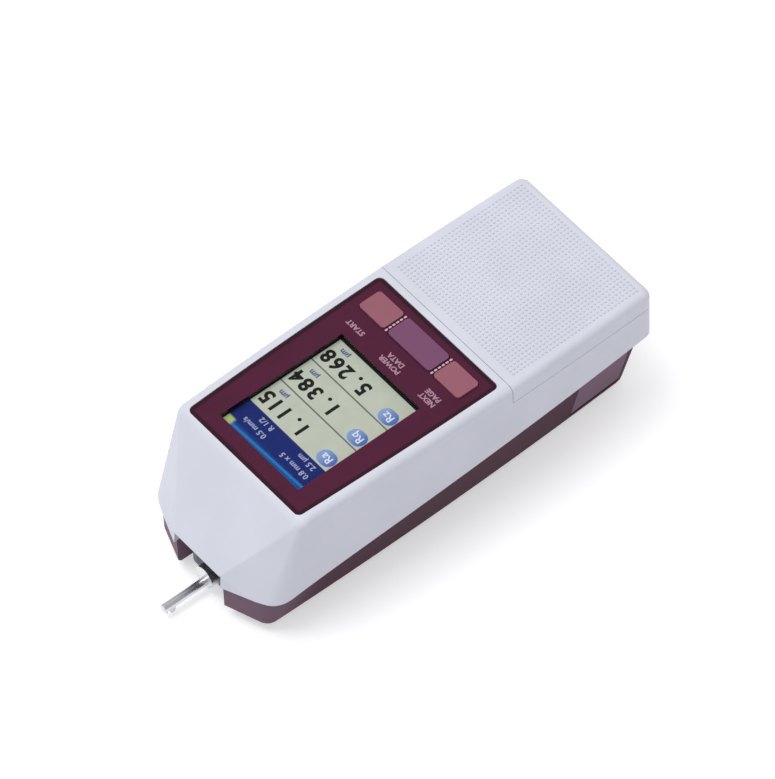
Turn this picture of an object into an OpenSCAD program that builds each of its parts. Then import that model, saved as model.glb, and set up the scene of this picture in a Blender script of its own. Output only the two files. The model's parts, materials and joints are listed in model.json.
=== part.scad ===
// Portable surface roughness tester: display unit with a stylus drive unit in its underside.
// Millimetres, +Z up. X runs along the case with the stylus toward -X; the readings run from -Y to +Y.
// Origin: middle of the overall length, on the measuring plane that the drive unit stands on.

/* [Case] */
// Length of the case from nose to rear end
body_l = 160; // [158:1:170]
// Width of the case at its widest place
body_w = 65.8; // [60:0.1:72]
// Height of the case top above the measuring plane
body_h = 52.1; // [50:0.1:58]
// Moulded wall thickness
wall = 2.2; // [1.9:0.1:2.4]
// Outward bow of each long side
side_bow = 1.6; // [0.8:0.1:2]
// Gain of each side from the middle to the rear end
side_taper = 0.9; // [0:0.1:1.2]
// Inward lean of each long side from parting line to top
side_draft = 0.7; // [0.3:0.1:1]
// Radius of the rounded top edges
edge_r = 2.4; // [1.2:0.1:2.8]
// Length of the sloping front face seen from above
slope_run = 17.7; // [16:0.1:18.5]
// Height of the nose edge above the measuring plane
nose_z = 20.5; // [19:0.1:22]
// Setback of the front corners behind the nose
nose_len = 7; // [5:0.5:10]
// Rounding of the front corners
nose_r = 6; // [4:0.5:8]
// Height of the parting line at the rear end
part_rear_z = 32.4; // [30:0.1:33.5]
// Height of the parting line at the nose
part_front_z = 15; // [13:0.1:16]
// Rise of the curved parting line above the straight one
part_bulge = 4; // [0:0.1:5]

/* [Lower case] */
// Clearance of the lower case above the measuring plane
base_z = 3.4; // [2.8:0.1:4.6]
// Half width of the flat underside
base_hw = 26.8; // [25:0.1:28.5]
// Loss of each side of the underside from the middle to the rear end
base_taper = 2; // [0:0.1:2.5]
// Step from the cover rim in to the lower case
base_step = 0.9; // [0.6:0.1:1.1]
// Rear end's inward lean at the underside
base_rear_in = 2.1; // [1:0.1:3]

/* [Front panel] */
// Length of the front panel
panel_l = 79.6; // [78.5:0.1:81]
// Strip of cover left beside the front panel
panel_margin = 3.6; // [3.2:0.1:3.9]
// Thickness of the front panel
panel_t = 1.2; // [1:0.1:1.4]
// Length of the display opening
screen_l = 49.2; // [47:0.1:50]
// Strip of front panel beside the display opening
screen_margin = 7.9; // [7:0.1:10]
// Length of the three front keys
key_l = 9; // [8.4:0.1:9.4]
// Width of the middle front key
mid_key_w = 20.2; // [17:0.1:21]
// Strip of front panel beside the outer front keys
key_edge = 4.5; // [4:0.1:6]
// Stroke of every key
key_stroke = 0.4; // [0.2:0.05:0.5]

/* [Slide cover] */
// Depth of the sliding cover's skirt
slide_h = 7.1; // [6.8:0.1:7.6]
// Strip of deck beside the outer round keys
pad_edge = 1.2; // [1:0.1:3]
// Gap between the flanges of two round keys
pad_key_gap = 0.6; // [0.4:0.1:1.5]

/* [Drive unit] */
// Length of the drive unit
drive_l = 115; // [112:0.5:116]
// Width of the drive unit
drive_w = 22; // [21.6:0.1:22.6]
// Height of the drive unit
drive_h = 26; // [25.6:0.1:26.4]
// Wall of the drive housing
drive_wall = 1.6; // [1.4:0.1:1.7]
// Gap between drive unit and channel
drive_gap = 0.3; // [0.2:0.05:0.4]
// Diameter of the lead screw
screw_d = 3; // [2.6:0.1:3.2]
// Diameter of each guide rod
rod_d = 2.5; // [2.2:0.1:2.8]
// Spacing of the two guide rods
rod_pitch = 13; // [12.6:0.1:13.4]
// Length of the traverse
stroke = 17.5; // [10:0.5:17.5]

/* [Detector] */
// Reach of the detector ahead of the nose
probe_reach = 14; // [13:0.5:15]
// Diameter of the detector body
detector_d = 8; // [7.6:0.1:8.2]
// Height of the detector body axis
detector_z = 6.4; // [6.3:0.1:6.8]
// Outer diameter of the nose pipe
pipe_d = 3; // [2.8:0.1:3.2]
// Height of the nose pipe axis
pipe_z = 4.2; // [4.1:0.05:4.4]
// Height of the stylus point over the measuring plane
tip_lift = 0.3; // [0.2:0.05:0.4]

/* [Hidden] */
$fn = 48;
// Overshoot of a cut past the face that it opens
over = 1;
// Gap between parts that lie face to face
touch_gap = 0.05;
// Ends of the case and of the whole instrument
x_front = (probe_reach - body_l) / 2;
x_rear = (body_l + probe_reach) / 2;
x_tip = x_front - probe_reach;
x_mid = (x_front + x_rear) / 2;
// Slices that the moulded forms are blended through
slice = 0.02;
arc_n = 10;
side_n = 10;
top_n = 4;
round_n = 5;
part_n = 24;
part_turn = 0.12;
wide_at = side_taper / (2 * side_bow);
nose_flat = 11.5;
nose_hw = 10.7;
top_corner_r = 3;
rear_corner_r = 3;
base_front_in = 0.5;
base_nose_len = 5.5;
base_nose_r = 3.2;
base_flat = 11.3;
base_in = body_w / 2 - base_hw;
base_corner_r = 6;
base_edge_r = 1.2;
part_rise = (part_rear_z - part_front_z) / body_l;
// Sloping front face
top_front_x = x_front + slope_run;
slope_k = slope_run / (body_h - nose_z);
slope_wall_k = sqrt(1 + slope_k * slope_k);
// Front panel
panel_recess = 0.25;
panel_setback = 1.3;
panel_x0 = top_front_x + panel_setback;
panel_x1 = panel_x0 + panel_l;
panel_top = body_h - panel_recess;
panel_bot = panel_top - panel_t;
panel_inset = side_draft + panel_margin;
panel_corner_r = 2;
panel_fit = 0.12;
ledge_w = 2.4;
// Display
screen_setback = 6.5;
screen_x0 = panel_x0 + screen_setback;
screen_x1 = screen_x0 + screen_l;
screen_hw = half_w(panel_x0, panel_inset) - screen_margin;
window_t = 1;
window_lap = 2.2;
window_top = panel_bot - touch_gap;
module_lap = 3.4;
module_t = 4;
display_gap = 0.25;
module_top = window_top - window_t - display_gap;
// Front keys, their dividers, switches and board
key_gap = 0.25;
key_play = 0.1;
key_setback = 4;
key_bar = 1.8;
key_x = panel_x1 - key_setback - key_l / 2;
key_row_hw = half_w(key_x, panel_inset) - key_edge;
side_key_w = key_row_hw - mid_key_w / 2 - key_bar;
key_y = key_row_hw - side_key_w / 2;
key_r = 1.2;
key_rise = 0.6;
key_flange = 0.65;
key_flange_t = 0.8;
key_flange_gap = 0.12;
key_top = panel_top + key_rise;
key_flange_top = panel_bot - key_flange_gap;
key_stem_d = 4;
key_stem_h = 2;
switch_h = 1;
switch_root = 0.1;
switch_top = key_flange_top - key_flange_t - key_stem_h - key_stroke - key_play;
key_board_t = 1.2;
key_board_lap = 3.6;
key_board_end = 1.2;
key_board_top = switch_top - switch_h;
key_board_x0 = key_x - key_l / 2 - key_board_lap;
key_board_x1 = panel_x1 - key_board_end;
divider_w = 0.6;
divider_h = 0.25;
divider_y = (mid_key_w + key_bar) / 2;
peg_d = 2;
peg_in = 1.2;
peg_x = key_board_x0 + peg_in;
peg_y = key_y - peg_d;
// Sliding cover and the deck that it runs on
seam_setback = 2.6;
seam_z = body_h - slide_h;
seam_x = panel_x1 + seam_setback;
slide_gap = 0.2;
deck_t = 2;
deck_front_gap = 0.5;
deck_end = 1;
pad_x0 = seam_x + deck_front_gap;
pad_x1 = x_rear - wall - deck_end;
rail_room = 2.7;
rail_gap = 0.3;
rail_reach = 1.4;
pad_neck_hw = body_w / 2 - side_draft - side_bow - wall - rail_room;
pad_neck_h = 2.2;
pad_flange_reach = 2;
pad_flange_hw = pad_neck_hw + pad_flange_reach;
pad_flange_t = 1;
pad_deck_top = seam_z + pad_neck_h + pad_flange_t;
rail_z0 = seam_z + 2 * slide_gap;
rail_z1 = seam_z + pad_neck_h - rail_gap;
rail_hw = pad_flange_hw - rail_reach;
// Round keys on the deck: places as steps of the pitch along and across
pad_flange = 0.8;
pad_places = [[0, 0], [-1, 0], [1, 0], [0, -1], [0, 1], [-1, -2], [-1, 2], [1, 2]];
pad_span = 2;
pad_pitch = (pad_neck_hw - pad_edge + pad_key_gap / 2) / (pad_span + 0.5);
pad_key_d = pad_pitch - 2 * pad_flange - pad_key_gap;
pad_rise = 1;
pad_cave_h = 2;
pad_cave_gap = 0.5;
pad_cave_top = seam_z + pad_cave_h;
pad_cave_hl = pad_pitch + pad_key_d / 2 + pad_flange + pad_cave_gap;
pad_cave_hw = pad_span * pad_pitch + pad_key_d / 2 + pad_flange + pad_cave_gap;
deck_rim = 1;
pad_x = pad_x0 + deck_rim + pad_cave_hl;
membrane_t = 0.4;
dome_h = 0.25;
// Channel for the drive unit
drive_setback = 7;
channel_end_gap = 0.4;
tunnel_lead = 1;
drive_x0 = x_front + drive_setback;
drive_x1 = drive_x0 + drive_l;
channel_hw = drive_w / 2 + drive_gap;
channel_top = drive_h + drive_gap;
channel_x1 = drive_x1 + channel_end_gap;
tunnel_x0 = drive_x0 + tunnel_lead;
tunnel_x1 = channel_x1 + wall;
tunnel_hw = channel_hw + wall;
// Posts and screws that hold the two case halves together
post_r = 3.3;
post_setback = 15.5;
post_clear = 1.6;
post_x = [x_front + post_setback, tunnel_x1 + post_clear];
post_in = [7.6, 6.8];
screw_hole_d = 3;
case_screw_d = 2.6;
case_screw_l = 15;
case_head_d = 4.6;
case_head_h = 1.6;
case_head_gap = 0.25;
case_grip = 6;
// Thickness of every large circuit board and of the parts on it
board_t = 1.6;
chip_rise = 1.5;
chip_root = 0.1;
// Connector door in the right side of the lower case
door_l = 21;
door_setback = 7.6;
door_rim = 4;
door_x1 = x_rear - door_setback;
door_x0 = door_x1 - door_l;
door_gap = 0.3;
door_t = 1.6;
door_axis_h = 4.2;
door_axis_z = base_z + door_axis_h;
door_top_z = part_z(door_x0) - door_rim;
door_barrel_r = 1.1;
door_barrel_skin = 0.1;
door_well = 1.5;
door_pin_r = 0.6;
door_pin_l = 1;
door_mid_x = (door_x0 + door_x1) / 2;
door_foot_y = half_w(door_mid_x, base_in, base_taper);
side_rise = rim_z(door_mid_x) + part_bulge - base_z - base_edge_r;
side_lean = (half_w(door_mid_x, base_step) - door_foot_y) / side_rise;
door_side_y = door_foot_y + (door_axis_z - base_z - base_edge_r) * side_lean;
door_axis_y = -(door_side_y - door_barrel_r - door_barrel_skin);
door_turn = atan2(half_w(door_x0, 0, base_taper) - half_w(door_x1, 0, base_taper), door_l);
door_well_y = door_axis_y + door_barrel_r + door_well;
// Sockets behind the door
port_depth = 5.4;
port_board_y = door_axis_y + port_depth;
port_board_end = 0.5;
port_z = (door_axis_z + door_top_z) / 2;
port_t = 3;
port_floor = 1;
port_gap = 1.2;
jack_l = 6;
jack_h = 7;
jack_hole_d = 4.4;
usb_l = 5.4;
usb_h = 3.6;
usb_skin = 0.5;
data_l = 6;
data_h = 7;
data_skin = 0.8;
jack_x = door_x0 + port_gap;
usb_x = jack_x + jack_l + port_gap;
data_x = usb_x + usb_l + port_gap;
// Main board on its pillars: each part as place along and across, length and width
main_board_lift = 4.5;
main_board_lead = 9;
main_board_end = 4;
main_board_side = 7.3;
main_board_z = channel_top + wall + main_board_lift;
main_board_x0 = post_x[0] + post_r + main_board_lead;
main_board_x1 = post_x[1] - post_r - main_board_end;
main_board_hw = body_w / 2 - wall - main_board_side;
main_chips = [[-20, -8, 14, 14], [6, 4, 18, 10], [24, -10, 9, 9], [-22, 12, 8, 6]];
pillar_r = 2.2;
pillar_y = 8;
pillar_in = 8;
// Battery
cell_d = 10.3;
cell_gap = 0.2;
battery_lead = 7;
battery_gap = 0.5;
battery_x = tunnel_x1 + battery_lead + cell_d;
battery_y0 = port_board_y + board_t + battery_gap;
battery_y1 = base_hw - side_bow - base_taper - wall - base_edge_r - battery_gap;
battery_z = base_z + wall + touch_gap;
cell_l = battery_y1 - battery_y0;
// Drive unit interior
drive_chamfer = 0.8;
plate_t = 4;
cap_t = 2;
axis_drop = 8.5;
axis_z = drive_h - axis_drop;
bearing_d = 6;
bearing_w = 2.5;
bearing_fit = 0.03;
run_fit = 0.04;
press_fit = 0.03;
inner_fit = 0.1;
screw_end_gap = 0.2;
screw_room = 0.3;
carriage_l = 14;
carriage_lead = 26;
carriage_gap = 0.7;
carriage_floor = 0.5;
carriage_cap = 4;
carriage_x0 = drive_x0 + carriage_lead;
carriage_x1 = carriage_x0 + carriage_l;
carriage_hw = drive_w / 2 - drive_wall - carriage_gap;
stroke_spare = 1;
bulkhead_t = 4;
bulkhead_x0 = carriage_x1 + stroke + stroke_spare;
bulkhead_x1 = bulkhead_x0 + bulkhead_t;
// Motor with its bracket and coupling
coupling_room = 8.5;
coupling_d = 5;
coupling_gap = 0.4;
coupling_grip = 3;
bracket_t = 3;
bracket_x0 = bulkhead_x1 + coupling_room;
bracket_x1 = bracket_x0 + bracket_t;
motor_d = 12;
motor_l = 30;
motor_x0 = bracket_x1 + touch_gap;
shaft_d = 2;
shaft_hole = 4;
shaft_l = 3.5;
// Board and plug of the drive unit
drive_board_lead = 2;
drive_board_end = 6;
drive_board_side = 1.3;
drive_chip_l = 7;
drive_chip_w = 6;
drive_chip_at = [0.3, 0.65];
plug_hw = 5;
plug_lift = 0.4;
plug_z0 = base_z + wall + plug_lift;
plug_h = 4.2;
plug_root = 4;
plug_end_gap = 0.2;
plug_fit = 0.1;
socket_l = 4;
socket_rim = 1;
// Detector
body_lead = 4.5;
shoulder_gap = 0.3;
body_x0 = drive_x0 - body_lead;
body_x1 = carriage_x0 - shoulder_gap;
detector_gap = 0.3;
probe_plug_d = 3.4;
probe_plug_l = 5;
pipe_seat = 5;
pipe_stop = 1.2;
pipe_wall = 0.5;
pipe_x1 = body_x0 + pipe_seat;
chamber_lap = 1;
chamber_end = 8;
chamber_x0 = pipe_x1 - chamber_lap;
chamber_x1 = body_x1 - chamber_end;
chamber_hw = 1.6;
chamber_down = 3.2;
chamber_up = 2.4;
chamber_z0 = detector_z - chamber_down;
chamber_z1 = detector_z + chamber_up;
// Pivot, stylus, skid and coil
pivot_lead = 6;
pivot_x = chamber_x0 + pivot_lead;
pivot_d = 0.8;
pivot_fit = 0.05;
pivot_setback = 0.2;
hub_d = 1.6;
hub_gap = 0.3;
arm_d = 0.8;
stylus_setback = 1.4;
stylus_x = x_tip + stylus_setback;
stylus_d = 0.7;
point_d = 0.05;
point_h = 0.5;
slot_hl = 0.8;
slot_hw = 0.6;
skid_r = 1.1;
skid_w = 1.4;
skid_lead = 2;
skid_lift = 0.1;
skid_x = stylus_x + skid_lead;
skid_z = tip_lift + skid_lift + skid_r;
notch_hw = 1.3;
coil_lead = 7;
coil_x = pivot_x + coil_lead;
coil_d = 2.8;
coil_gap = 0.5;
coil_z0 = pipe_z + arm_d / 2 + coil_gap;

// Height of the straight line from rim to rim that the parting line curves over
function rim_z(x) = part_rear_z - part_rise * (x_rear - x);

// Height of the curved parting line at x: it rises fast behind the nose and runs out at the rear
function part_z(x) =
    let (u = (x - x_front) / body_l)
    rim_z(x) + part_bulge * (1 - u) * (1 - exp(-max(u, 0) / part_turn));

// Place of the sloping front face at height z
function slope_x(z) = top_front_x - (body_h - z) * slope_k;

// Half width of the bowed case at x, moved in by inset and drawn in toward the rear by draw
function half_w(x, inset, draw = 0) =
    let (u = (x - x_mid) / (body_l / 2))
    body_w / 2 - inset - draw * u - side_bow * pow(u - wide_at, 2);

// Closes a half outline, given on the -Y side from front to rear, into a whole one
function both_sides(half) = concat(half, [for (i = [len(half) - 1:-1:0]) [half[i][0], -half[i][1]]]);

// Half of a front end with quarter-round corners
function round_front(x0, inset, r) =
    let (hw = half_w(x0 + r, inset))
    [for (k = [0:arc_n])
        let (a = 90 * k / arc_n)
        [x0 + r * (1 - cos(a)), -hw + r * (1 - sin(a))]];

// Half of a front end that slants back from its flat middle and turns into the side over r
function slant_front(x0, inset, flat, back, r, draw = 0) =
    let (
        a = [x0, -flat],
        c = [x0 + back, -half_w(x0 + back, inset, draw)],
        b = c + (a - c) * r / norm(a - c),
        e = [c[0] + r, -half_w(c[0] + r, inset, draw)]
    )
    concat([a], [for (k = [0:arc_n])
        let (u = k / arc_n)
        b * pow(1 - u, 2) + c * 2 * u * (1 - u) + e * pow(u, 2)]);

// Outline of the case seen from above: a given front end, bowed sides and round rear corners
function plan(front, x1, inset, corner, draw = 0) =
    let (xa = front[len(front) - 1][0], xb = x1 - corner)
    both_sides(concat(
        front,
        [for (k = [1:side_n])
            let (x = xa + (xb - xa) * k / side_n)
            [x, -half_w(x, inset, draw)]],
        [for (k = [1:arc_n / 2])
            let (a = 90 * k / (arc_n / 2))
            [xb + corner * sin(a), -half_w(xb, inset, draw) + corner * (1 - cos(a))]]
    ));

// Outline whose front corners are rounded with the given radius
function panel_plan(x0, x1, inset, r) = plan(round_front(x0, inset, r), x1, inset, r);

// Rectangle with rounded corners, centred
function rounded(l, w, r) = [
    for (c = [[1, 1, 0], [-1, 1, 90], [-1, -1, 180], [1, -1, 270]], k = [0:round_n])
        let (a = c[2] + 90 * k / round_n)
        [c[0] * (l / 2 - r) + r * cos(a), c[1] * (w / 2 - r) + r * sin(a)]
];

// Turns a flat slice into the inclined plane of the rim line, raised by dz
module parting(dz) {
    multmatrix([
        [1, 0, 0, 0],
        [0, 1, 0, 0],
        [part_rise, 0, 1, part_rear_z - part_rise * x_rear + dz],
        [0, 0, 0, 1]
    ])
        children();
}

// Everything between the curved parting line, moved by dz, and height z_end
module parted(dz, z_end) {
    x0 = x_front - over;
    length = body_l + 2 * over;
    translate([0, body_w, 0])
        rotate([90, 0, 0])
            linear_extrude(2 * body_w)
                polygon(concat(
                    [for (k = [0:part_n])
                        let (x = x0 + length * k / part_n)
                        [x, part_z(x) + dz]],
                    [[x0 + length, z_end], [x0, z_end]]
                ));
}

// Box from corner to corner
module block(a, b) {
    translate(a)
        cube(b - a);
}

// Cylinder along X
module rod_x(x0, x1, y, z, d) {
    translate([x0, y, z])
        rotate([0, 90, 0])
            cylinder(d = d, h = x1 - x0);
}

// Cylinder along Y, centred on the middle plane
module rod_y(x, z, d, w) {
    translate([x, w / 2, z])
        rotate([90, 0, 0])
            cylinder(d = d, h = w);
}

// Moulded form of the upper half, moved in by t on every face, its rim moved by dz
module cover_form(t, dz) {
    hull() {
        parting(dz)
            linear_extrude(slice)
                polygon(plan(slant_front(x_front + t, t, nose_flat, nose_len, nose_r),
                    x_rear - t, t, rear_corner_r));
        translate([x_front + t * slope_wall_k, -nose_hw, nose_z - slice])
            cube([slice, 2 * nose_hw, slice]);
        for (k = [0:top_n])
            let (
                a = 90 * k / top_n,
                e = edge_r * (1 - cos(a)),
                z = body_h - t - edge_r * (1 - sin(a))
            )
            translate([0, 0, z - slice])
                linear_extrude(slice)
                    polygon(panel_plan(slope_x(z) + e + t * slope_wall_k, x_rear - t - e,
                        side_draft + t + e, top_corner_r));
    }
}

// Moulded form of the lower half, moved in by t on every face, its rim well above the parting line
module base_form(t) {
    rim = base_step + t;
    hull() {
        parting(part_bulge)
            linear_extrude(slice)
                polygon(plan(slant_front(x_front + rim, rim, nose_flat, nose_len, nose_r),
                    x_rear - rim, rim, base_corner_r));
        for (e = [0, base_edge_r])
            let (foot = base_in + t + e)
                translate([0, 0, base_z + t + base_edge_r - e])
                    linear_extrude(slice)
                        polygon(plan(
                            slant_front(x_front + rim + base_front_in + e, foot, base_flat, base_nose_len,
                                base_nose_r, base_taper),
                            x_rear - base_rear_in - t - e, foot, base_corner_r, base_taper
                        ));
    }
}

// Places children at the four case screws
module at_posts() {
    for (i = [0, 1], side = [-1, 1])
        translate([post_x[i], side * (base_hw - post_in[i]), part_z(post_x[i])])
            children();
}

// Places children at the four board pillars
module at_pillars() {
    for (x = [main_board_x0 + pillar_in, main_board_x1 - pillar_in], side = [-1, 1])
        translate([x, side * pillar_y, channel_top + wall])
            children();
}

// Places children at the centre of every key under the sliding cover
module at_pad_keys() {
    for (c = pad_places)
        translate([pad_x + c[0] * pad_pitch, c[1] * pad_pitch, 0])
            children();
}

// Space that the front panel's parts need through the cover
module panel_opening() {
    translate([0, 0, body_h - wall - over])
        linear_extrude(wall + 2 * over)
            polygon(panel_plan(panel_x0 + ledge_w, panel_x1 - ledge_w, panel_inset + ledge_w,
                panel_corner_r));
    translate([0, 0, panel_bot])
        linear_extrude(panel_t + over)
            polygon(panel_plan(panel_x0 - panel_fit, panel_x1 + panel_fit, panel_inset - panel_fit,
                panel_corner_r));
}

// Front key: cap through the panel, flange behind it and stem over its switch
module front_key(y, w) {
    translate([key_x, y, 0]) {
        translate([0, 0, key_flange_top - key_flange_t])
            linear_extrude(key_flange_t)
                polygon(rounded(key_l + 2 * key_flange, w + 2 * key_flange, key_r));
        translate([0, 0, key_flange_top - key_flange_t])
            linear_extrude(key_top - key_flange_top + key_flange_t)
                polygon(rounded(key_l, w, key_r));
        translate([0, 0, key_flange_top - key_flange_t - key_stem_h])
            cylinder(d = key_stem_d, h = key_stem_h + key_flange_t);
    }
}

// Round key under the sliding cover, at its place in the key field
module pad_key(column, row) {
    foot_z = pad_cave_top - key_play - key_flange_t;
    translate([pad_x + column * pad_pitch, row * pad_pitch, foot_z]) {
        cylinder(d = pad_key_d + 2 * pad_flange, h = key_flange_t);
        cylinder(d = pad_key_d, h = pad_deck_top + pad_rise - foot_z);
    }
}

// White cover: shell with the display opening, the deck under the sliding cover and four screw posts
module upper_cover() {
    color([0.86, 0.87, 0.91])
        difference() {
            intersection() {
                cover_form(0, 0);
                parted(0, 2 * body_h);
            }
            difference() {
                cover_form(wall, -wall);
                block([seam_x - wall, -body_w, seam_z - deck_t], [x_rear, body_w, seam_z]);
                block([seam_x - wall, -body_w, seam_z - deck_t], [seam_x, body_w, body_h]);
                at_posts()
                    translate([0, 0, -wall])
                        cylinder(r = post_r, h = body_h);
            }
            block([seam_x, -body_w, seam_z], [x_rear + over, body_w, body_h + over]);
            panel_opening();
            block([x_front - over, -channel_hw, 0], [tunnel_x0 + over, channel_hw, nose_z]);
            at_posts()
                translate([0, 0, -wall])
                    cylinder(d = case_screw_d + 2 * touch_gap, h = case_screw_l);
        }
}

// Maroon front panel: display opening, key openings, key dividers and pillars for the key board
module front_panel() {
    color([0.36, 0.18, 0.27]) {
        difference() {
            translate([0, 0, panel_bot])
                linear_extrude(panel_t)
                    polygon(panel_plan(panel_x0, panel_x1, panel_inset, panel_corner_r));
            block([screen_x0, -screen_hw, panel_bot - over], [screen_x1, screen_hw, body_h]);
            for (k = [[0, mid_key_w], [key_y, side_key_w], [-key_y, side_key_w]])
                translate([key_x, k[0], panel_bot - over])
                    linear_extrude(panel_t + 2 * over)
                        polygon(rounded(key_l + 2 * key_gap, k[1] + 2 * key_gap, key_r + key_gap));
        }
        for (side = [-1, 1]) {
            translate([key_x, side * divider_y, panel_top - divider_h])
                linear_extrude(2 * divider_h)
                    square([key_l, divider_w], center = true);
            translate([peg_x, side * peg_y, key_board_top])
                cylinder(d = peg_d, h = panel_bot - key_board_top + divider_h);
        }
    }
}

// Clear window behind the display opening
module display_window() {
    color([0.75, 0.82, 0.85, 0.5])
        block([screen_x0 - window_lap, -screen_hw - window_lap, window_top - window_t],
            [screen_x1 + window_lap, screen_hw + window_lap, window_top]);
}

// Liquid crystal display module
module display_module() {
    color([0.8, 0.83, 0.74])
        block([screen_x0 - module_lap, -screen_hw - module_lap, module_top - module_t],
            [screen_x1 + module_lap, screen_hw + module_lap, module_top]);
}

// Circuit board that carries the switches of the front keys
module key_board() {
    color([0.1, 0.35, 0.2]) {
        block([key_board_x0, -key_row_hw, key_board_top - key_board_t],
            [key_board_x1, key_row_hw, key_board_top]);
        for (y = [-key_y, 0, key_y])
            translate([key_x, y, key_board_top - switch_root])
                cylinder(d = key_stem_d, h = switch_h + switch_root);
    }
}

// Left front key
module start_key() {
    color([0.65, 0.37, 0.43])
        front_key(key_y, side_key_w);
}

// Middle front key
module data_key() {
    color([0.51, 0.3, 0.47])
        front_key(0, mid_key_w);
}

// Right front key
module page_key() {
    color([0.65, 0.37, 0.43])
        front_key(-key_y, side_key_w);
}

// Sliding cover: cap over the rear of the case with a rail inside each skirt
module slide_cover() {
    color([0.86, 0.87, 0.91])
        difference() {
            intersection() {
                cover_form(0, 0);
                block([seam_x + slide_gap, -body_w, seam_z + slide_gap],
                    [x_rear + over, body_w, body_h + over]);
            }
            difference() {
                cover_form(wall, -wall);
                for (side = [-1, 1])
                    translate([seam_x, side * (rail_hw + body_w / 2) - body_w / 2, rail_z0])
                        cube([body_l, body_w, rail_z1 - rail_z0]);
            }
        }
}

// Deck with T-shaped edges that the sliding cover runs on, holding the key field
module keypad_deck() {
    color([0.3, 0.2, 0.25])
        difference() {
            union() {
                block([pad_x0, -pad_neck_hw, seam_z], [pad_x1, pad_neck_hw, pad_deck_top]);
                block([pad_x0, -pad_flange_hw, seam_z + pad_neck_h], [pad_x1, pad_flange_hw, pad_deck_top]);
            }
            block([pad_x - pad_cave_hl, -pad_cave_hw, seam_z - over],
                [pad_x + pad_cave_hl, pad_cave_hw, pad_cave_top]);
            at_pad_keys()
                translate([0, 0, seam_z])
                    cylinder(d = pad_key_d + 2 * key_gap, h = slide_h);
        }
}

// Rubber sheet with a dome under every key of the key field
module keypad_membrane() {
    color([0.2, 0.2, 0.22]) {
        block([pad_x - pad_cave_hl + key_gap, -pad_cave_hw + key_gap, seam_z],
            [pad_x + pad_cave_hl - key_gap, pad_cave_hw - key_gap, seam_z + membrane_t]);
        at_pad_keys()
            translate([0, 0, seam_z])
                cylinder(d = key_stem_d, h = membrane_t + dome_h);
    }
}

// Cursor key toward the display
module up_key() {
    color([0.75, 0.76, 0.8])
        pad_key(-1, 0);
}

// Cursor key away from the display
module down_key() {
    color([0.75, 0.76, 0.8])
        pad_key(1, 0);
}

// Cursor key on the left
module left_key() {
    color([0.75, 0.76, 0.8])
        pad_key(0, -1);
}

// Cursor key on the right
module right_key() {
    color([0.75, 0.76, 0.8])
        pad_key(0, 1);
}

// Enter key in the middle of the cursor keys
module enter_key() {
    color([0.6, 0.62, 0.68])
        pad_key(0, 0);
}

// Escape key
module escape_key() {
    color([0.75, 0.76, 0.8])
        pad_key(1, 2);
}

// Blue function key
module blue_key() {
    color([0.2, 0.35, 0.7])
        pad_key(-1, -2);
}

// Red function key
module red_key() {
    color([0.7, 0.2, 0.22])
        pad_key(-1, 2);
}

// Maroon lower case: tapered tub with the channel for the drive unit
module lower_case() {
    color([0.27, 0.2, 0.24])
        difference() {
            union() {
                difference() {
                    intersection() {
                        base_form(0);
                        parted(-touch_gap, -body_h);
                    }
                    difference() {
                        base_form(wall);
                        block([x_front, -tunnel_hw, 0], [tunnel_x1, tunnel_hw, body_h]);
                        at_posts()
                            translate([0, 0, -body_h])
                                cylinder(r = post_r, h = 2 * body_h);
                    }
                }
                block([tunnel_x0, -tunnel_hw, base_z + wall], [tunnel_x1, tunnel_hw, channel_top + wall]);
                at_pillars()
                    translate([0, 0, -wall / 2])
                        cylinder(r = pillar_r, h = main_board_z - channel_top - wall / 2);
            }
            block([x_front - over, -channel_hw, -over], [channel_x1, channel_hw, channel_top]);
            block([channel_x1 - over, -plug_hw - drive_gap, plug_z0 - drive_gap],
                [tunnel_x1 + over, plug_hw + drive_gap, plug_z0 + plug_h + drive_gap]);
            at_posts() {
                translate([0, 0, -body_h])
                    cylinder(d = case_head_d + 2 * case_head_gap, h = body_h - case_grip);
                translate([0, 0, -body_h])
                    cylinder(d = screw_hole_d, h = body_h + over);
            }
            block([door_x0 - door_gap, -body_w, door_axis_z - door_barrel_r - door_gap],
                [door_x1 + door_gap, door_well_y, door_top_z + door_gap]);
            door_rod(door_gap + door_pin_l + touch_gap, door_pin_r + touch_gap);
        }
}

// Part soldered on a circuit board, centred at x and y on the face at height top
module chip(x, y, top, l, w) {
    translate([x - l / 2, y - w / 2, top - chip_root])
        cube([l, w, chip_rise + chip_root]);
}

// Main circuit board over the channel
module main_board() {
    top = main_board_z + board_t;
    color([0.1, 0.4, 0.22]) {
        block([main_board_x0, -main_board_hw, main_board_z], [main_board_x1, main_board_hw, top]);
        for (c = main_chips)
            chip((main_board_x0 + main_board_x1) / 2 + c[0], c[1], top, c[2], c[3]);
    }
}

// Rechargeable battery of four cells in a wrap
module battery_pack() {
    color([0.2, 0.3, 0.55]) {
        for (i = [-1, 1], j = [0, 1])
            translate([battery_x + i * (cell_d + cell_gap) / 2, battery_y1,
                battery_z + cell_d / 2 + j * (cell_d + cell_gap)])
                rotate([90, 0, 0])
                    cylinder(d = cell_d, h = cell_l);
        block([battery_x - cell_d / 2, battery_y0 + cell_l / 4, battery_z + cell_d / 2],
            [battery_x + cell_d / 2, battery_y1 - cell_l / 4, battery_z + cell_d * 3 / 2]);
    }
}

// Four screws that join the lower case to the cover
module case_screws() {
    color([0.7, 0.71, 0.73])
        at_posts()
            translate([0, 0, -case_grip]) {
                translate([0, 0, -case_head_h])
                    cylinder(d = case_head_d, h = case_head_h);
                cylinder(d = case_screw_d, h = case_screw_l - wall);
            }
}

// Round bar on the door's hinge line, reaching past each end of the door
module door_rod(reach, r) {
    translate([door_mid_x, door_axis_y, door_axis_z])
        rotate([0, 0, door_turn])
            rod_x(-door_l / 2 - reach, door_l / 2 + reach, 0, 0, 2 * r);
}

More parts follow.
